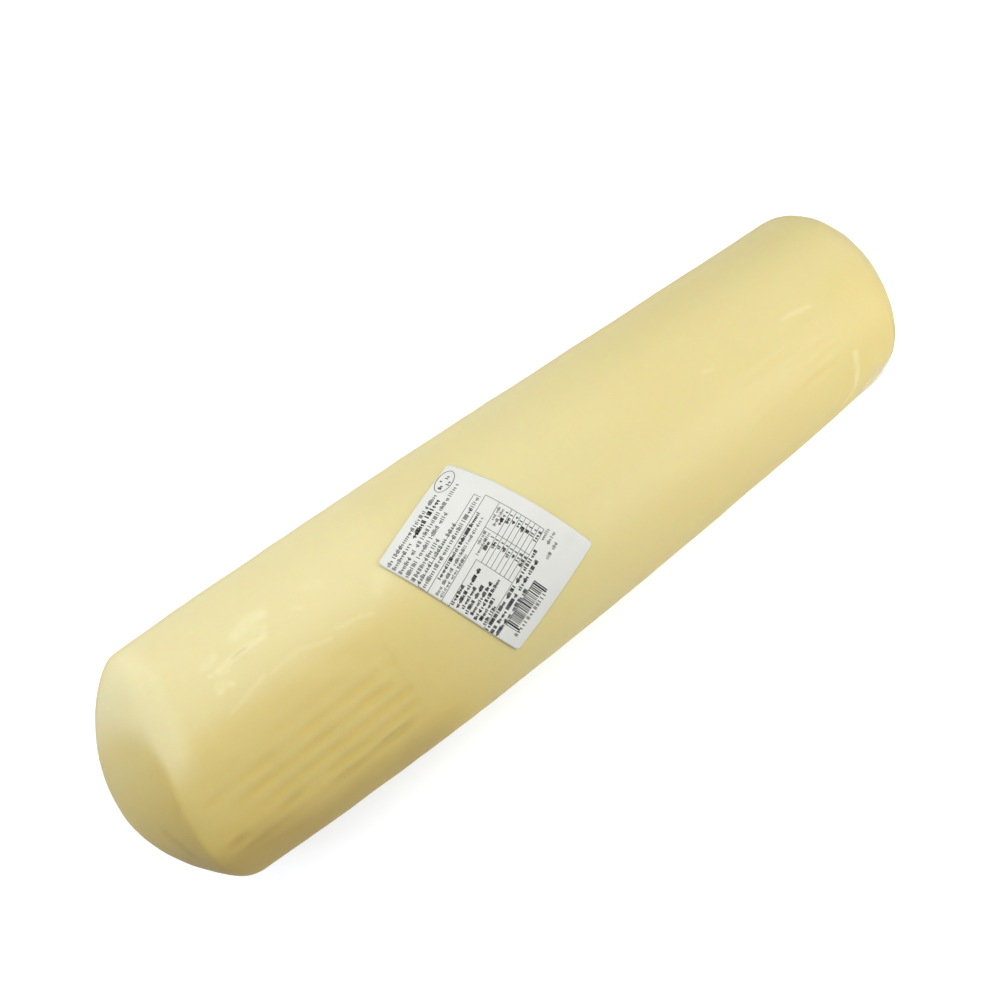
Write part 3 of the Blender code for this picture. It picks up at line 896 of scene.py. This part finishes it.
def addLine(start, end, upper, lower, fade=0.45, heavy=False, words=None):
    # words of seeded lengths filling a line, or as many as are asked for
    space = 0.42 * (lower - upper)
    at = start
    while at < end - 0.8:
        if words is None:
            length = draw.uniform(printLook["wordFrom"], printLook["wordTo"])
        else:
            length = (end - start) / words - space
        stop = min(at + length, end)
        addWord(at, stop, upper, lower, fade, heavy)
        at = stop + space


# the address block: height of each line's foot, where it ends, its strength
for foot, end, fade in ((-34.2, 11.8, 0.62), (-28.2, 22.0, 0.48), (-25.1, 6.2, 0.58),
                        (-21.9, -5.7, 0.52), (-19.3, 3.5, 0.42), (-16.5, 19.4, 0.42)):
    addLine(-29.0, end, foot - 1.9, foot, fade)
addLine(-29.0, -15.0, -33.3, -31.4, 0.55)
addLine(-12.0, 11.1, -33.7, -31.5, 0.22, heavy=True, words=2)

# the table: rules across and upright, then its rows of marks
table = dict(left=-30.0, right=22.2, top=-15.0, bottom=15.5, names=-6.1, middle=8.6, rule=0.22,
             rowPitch=2.5)


def addRule(left, right, level, fade, rule=table["rule"]):
    # a rule across, level being the middle of its thickness
    addBox(left, right, level - 0.5 * rule, level + 0.5 * rule, fade)


def addUpright(x, upper, lower, fade):
    # an upright rule, x being the middle of its thickness
    addBox(x - 0.5 * table["rule"], x + 0.5 * table["rule"], upper, lower, fade)


# level, left, right, strength; then x, upper, lower, strength
rules = ((-19.7, -29.7, 20.1, 0.75), (table["top"], table["left"], table["right"], 0.35),
         (-7.9, table["left"], table["right"], 0.30), (-4.0, -30.0, -6.1, 0.80),
         (table["bottom"], table["left"], table["right"], 0.40))
uprights = ((table["right"], -15.0, 15.5, 0.55), (table["names"], -4.0, 15.5, 0.45),
            (table["middle"], -7.9, 15.5, 0.45), (-29.7, -19.7, -16.2, 0.80), (20.1, -19.7, -16.2, 0.80))
for level, left, right, fade in rules:
    addRule(left, right, level, fade)
for x, upper, lower, fade in uprights:
    addUpright(x, upper, lower, fade)
for k in range(7):
    firm = k in (0, 4, 5)
    addRule(table["names"], table["right"], -1.5 + k * 2.43, 0.25 if firm else 0.70)
addLine(-22.4, 14.2, -14.4, -12.8, 0.12, heavy=True, words=2)
addLine(-28.7, 11.7, -11.8, -10.3, 0.45)
addLine(-28.7, -6.7, -9.7, -8.3, 0.45)
for upper, columns in ((-7.5, ((0.2, 7.6), (13.2, 20.9))), (-5.6, ((-4.2, 7.5), (11.2, 21.0)))):
    for start, end in columns:
        addLine(start, end, upper, upper + 1.4, 0.40, words=2)
rowNames = ((-28.8, -18.0), (-28.8, -7.4), (-27.8, -15.8), (-28.8, -13.5),
            (-27.8, -10.8), (-28.7, -7.2), (-27.8, -15.5), (-28.5, -18.3))
for k, (start, end) in enumerate(rowNames):
    middle = -3.2 + k * table["rowPitch"]
    upper, lower = middle - 0.85, middle + 0.85
    addLine(start, end, upper, lower, 0.20, heavy=True, words=1 + k % 2)
    for edge in (7.6, 20.8):
        reach = 8.2 if k == 0 else 4.6 + 1.1 * (k % 3 == 1)
        addLine(edge - reach, edge - 2.2, upper, lower, 0.25, heavy=True)
        addLine(edge - 1.5, edge, upper + 0.4, lower + 0.3, 0.30, heavy=True)

# lines under the table, and the small ones at its right
for foot, end, fade in ((18.0, 12.0, 0.30), (21.0, 8.5, 0.24), (23.9, -4.7, 0.28)):
    addLine(-29.7, end, foot - 1.9, foot, fade, heavy=True)
for upper, start, end in ((16.3, 17.5, 24.3), (19.4, 17.2, 24.7), (22.8, 11.7, 22.0)):
    addLine(start, end, upper, upper + 1.7, 0.50, words=2)

# bars of seeded widths, and small marks under them
bars = dict(left=-23.0, right=0.4, upper=24.2, lower=30.7, guard=32.6)
at = bars["left"]
while at < bars["right"] - 0.3:
    thick = draw.choice((0.28, 0.40, 0.58, 0.80))
    guard = at < bars["left"] + 1.5 or at > bars["right"] - 1.6
    addBox(at, at + thick, bars["upper"], bars["guard" if guard else "lower"], 0.0)
    at += thick + draw.choice((0.30, 0.42, 0.62))
addRule(bars["left"] - 0.3, bars["right"] + 0.3, bars["upper"], 0.20, 0.35)
for k in range(13):
    start = -24.9 + k * 1.86
    addWord(start, start + 1.15, 31.4, 33.6, 0.42, False)

# the stamp: an oval ring with four short lines in it
stamp = dict(along=20.2, across=-35.4, halfLong=6.6, halfShort=3.75, rule=0.30, fade=0.22, points=64)
for start, end, upper in ((-1.0, 1.2, -2.6), (-5.0, -1.8, -0.8), (1.6, 4.6, -0.8), (-1.4, 1.6, 1.4)):
    addLine(stamp["along"] + start, stamp["along"] + end,
            stamp["across"] + upper, stamp["across"] + upper + 1.7, 0.15, heavy=True, words=1)


def inkSheets(sides, rows, columns):
    # each mark is a thin closed slab on the paper: sides gives left, right, upper and lower of every mark
    s = np.linspace(0.0, 1.0, columns)[None, None, :]
    t = np.linspace(0.0, 1.0, rows)[None, :, None]
    left, right, upper, lower = (sides[:, k, None, None] for k in range(4))
    along = left + (right - left) * s + 0.0 * t
    across = upper + (lower - upper) * t + 0.0 * s
    return slabOnPaper(along, across)


def slabOnPaper(along, across):
    # from millimetres to the label: the marks' tops just above the paper, their undersides below its face
    along, across = along * mm, across * mm
    lift = paperLift(along, across) + labelForm["thickness"]
    thick = printLook["thickness"] * mm
    top = labelPoints(along, across, lift + thick)
    bottom = labelPoints(along, across, lift - thick)
    return np.stack([top, bottom], 1)


def makePrint():
    # short marks are one cell, long rules many cells along or across, and the ring goes round the oval
    sides = np.array(printed)
    wide = (sides[:, 1] - sides[:, 0]) > printLook["longMark"]
    tall = (sides[:, 3] - sides[:, 2]) > printLook["longMark"]
    blocks, fades, faces, start = [], [], [], 0
    for chosen, rows, columns in ((~wide & ~tall, 2, 2), (wide, 2, 40), (tall & ~wide, 24, 2)):
        sheets = inkSheets(sides[chosen, :4], rows, columns)
        count = sheets.shape[0]
        faces.append(slabFaces(count, rows, columns) + start)
        blocks.append(sheets.reshape(-1, 3))
        fades.append(np.repeat(sides[chosen, 4], 2 * rows * columns))
        start += count * 2 * rows * columns
    turn = np.linspace(0.0, 2.0 * math.pi, stamp["points"] + 1)[:-1]
    edge = np.array([-0.5, 0.5])[:, None] * stamp["rule"]
    along = stamp["along"] + (stamp["halfLong"] + edge) * np.cos(turn)
    across = stamp["across"] + (stamp["halfShort"] + edge) * np.sin(turn)
    ring = slabOnPaper(along[None], across[None])[0]         # top and bottom, inner and outer, round
    loop = np.stack([ring[0, 0], ring[0, 1], ring[1, 1], ring[1, 0]])
    i, j = np.meshgrid(np.arange(4), np.arange(turn.size), indexing="ij")
    nextI, nextJ = (i + 1) % 4, (j + 1) % turn.size
    row, nextRow = i * turn.size, nextI * turn.size
    quads = np.stack([row + j, row + nextJ, nextRow + nextJ, nextRow + j], -1)
    faces.append(quads.reshape(-1, 4) + start)
    blocks.append(loop.reshape(-1, 3))
    fades.append(np.full(4 * turn.size, stamp["fade"]))
    marks = {"fade": np.concatenate(fades)}
    return makePiece("label_print", np.concatenate(blocks), faces, inkFinish, marks)


labelPrint = makePrint()
print("label made, with", len(printed), "printed marks")

# what each piece replaces and is made of; every piece rides on the root
for piece, node, slot in ((cheese, "wrapped_cheese", "cheese"), (film, "wrapped_cheese", "film"),
                          (filmFolds, "wrapped_cheese", "film"), (label, "label", "paper"),
                          (labelPrint, "label", "ink")):
    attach(piece, "root")
    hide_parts(node)

# a pale floor, soft light and the camera
floorLook = dict(size=8.0, colour=(0.92, 0.92, 0.935), roughness=0.7, glow=0.58,
                 glowColour=(0.84, 0.905, 1.0))


def makeFloor():
    # a large square at the height on which the log lies
    side = 0.5 * floorLook["size"]
    corners = [(-side, -side, 0.0), (side, -side, 0.0), (side, side, 0.0), (-side, side, 0.0)]
    mesh = bpy.data.meshes.new("floor")
    mesh.from_pydata(corners, [], [(0, 1, 2, 3)])
    material, tree, shader = newMaterial("floor")
    setSockets(shader, Base_Color=(*floorLook["colour"], 1.0), Roughness=floorLook["roughness"],
               Specular_IOR_Level=0.0, Emission_Color=(*floorLook["glowColour"], 1.0))
    # a lift towards white that only the camera sees, so that it doesn't light the log from below
    seen = tree.nodes.new("ShaderNodeLightPath").outputs["Is Camera Ray"]
    glow = mathNode(tree, "MULTIPLY", seen, floorLook["glow"])
    tree.links.new(glow, shader.inputs["Emission Strength"])
    mesh.materials.append(material)
    floor = bpy.data.objects.new("floor", mesh)
    bpy.context.scene.collection.objects.link(floor)


# azimuth is where a light stands, from +X towards +Y; aim is the x of the point that it looks at
lights = [
    dict(name="back", azimuth=90.0, elevation=42.0, distance=1.00, size=0.65, power=2.6, aim=0.0),
    dict(name="back_left", azimuth=120.0, elevation=20.0, distance=1.00, size=0.65, power=2.1, aim=0.0),
    dict(name="front_right", azimuth=-50.0, elevation=28.0, distance=1.00, size=0.65, power=5.2, aim=0.0),
    dict(name="blunt_end", azimuth=180.0, elevation=42.0, distance=1.00, size=0.65, power=2.0, aim=0.0),
    dict(name="slim_end", azimuth=0.0, elevation=40.0, distance=1.00, size=0.65, power=0.8, aim=0.0),
    dict(name="over_blunt", azimuth=90.0, elevation=86.0, distance=0.80, size=0.55, power=1.1, aim=-0.16),
    dict(name="over_slim", azimuth=90.0, elevation=86.0, distance=0.80, size=0.55, power=1.35, aim=0.16),
]
aimHeight = 0.06
worldLook = dict(colour=(1.0, 1.0, 1.0), strength=0.03)


def placeAt(azimuth, elevation, distance, aim):
    # the point at that distance from aim, in the direction of the two angles
    a, e = math.radians(azimuth), math.radians(elevation)
    heading = np.array([math.cos(e) * math.cos(a), math.cos(e) * math.sin(a), math.sin(e)])
    return np.array(aim) + distance * heading


def lookAt(thing, aim):
    # turns a light or camera so that its -Z runs to aim and its +Y stays upwards
    heading = Vector(aim) - thing.location
    thing.rotation_euler = heading.to_track_quat("-Z", "Y").to_euler()


def makeLights():
    # the round soft lamps, and a faint even light from all round
    for entry in lights:
        data = bpy.data.lights.new(entry["name"], "AREA")
        data.shape = "DISK"
        data.size = entry["size"]
        data.energy = entry["power"]
        light = bpy.data.objects.new(entry["name"], data)
        aim = (entry["aim"], 0.0, aimHeight)
        light.location = placeAt(entry["azimuth"], entry["elevation"], entry["distance"], aim)
        bpy.context.scene.collection.objects.link(light)
        lookAt(light, aim)
    world = bpy.data.worlds.new("studio")
    world.use_nodes = True
    background = world.node_tree.nodes["Background"]
    background.inputs["Color"].default_value = (*worldLook["colour"], 1.0)
    background.inputs["Strength"].default_value = worldLook["strength"]
    bpy.context.scene.world = world


cameraPlace = dict(azimuth=-128.6, elevation=64.6, distance=0.5190, aim=(-0.0113, 0.0164, 0.0597),
                   lens=36.0, sensor=36.0, clipStart=0.01)


def makeCamera():
    # above the front side and turned towards the blunt end
    p = cameraPlace
    data = bpy.data.cameras.new("camera")
    data.lens = p["lens"]
    data.sensor_width = p["sensor"]
    data.clip_start = p["clipStart"]
    camera = bpy.data.objects.new("camera", data)
    camera.location = placeAt(p["azimuth"], p["elevation"], p["distance"], p["aim"])
    bpy.context.scene.collection.objects.link(camera)
    lookAt(camera, p["aim"])
    bpy.context.scene.camera = camera


makeFloor()
makeLights()
makeCamera()
bpy.context.scene.view_settings.view_transform = "Standard"
print("floor, lights and camera made")
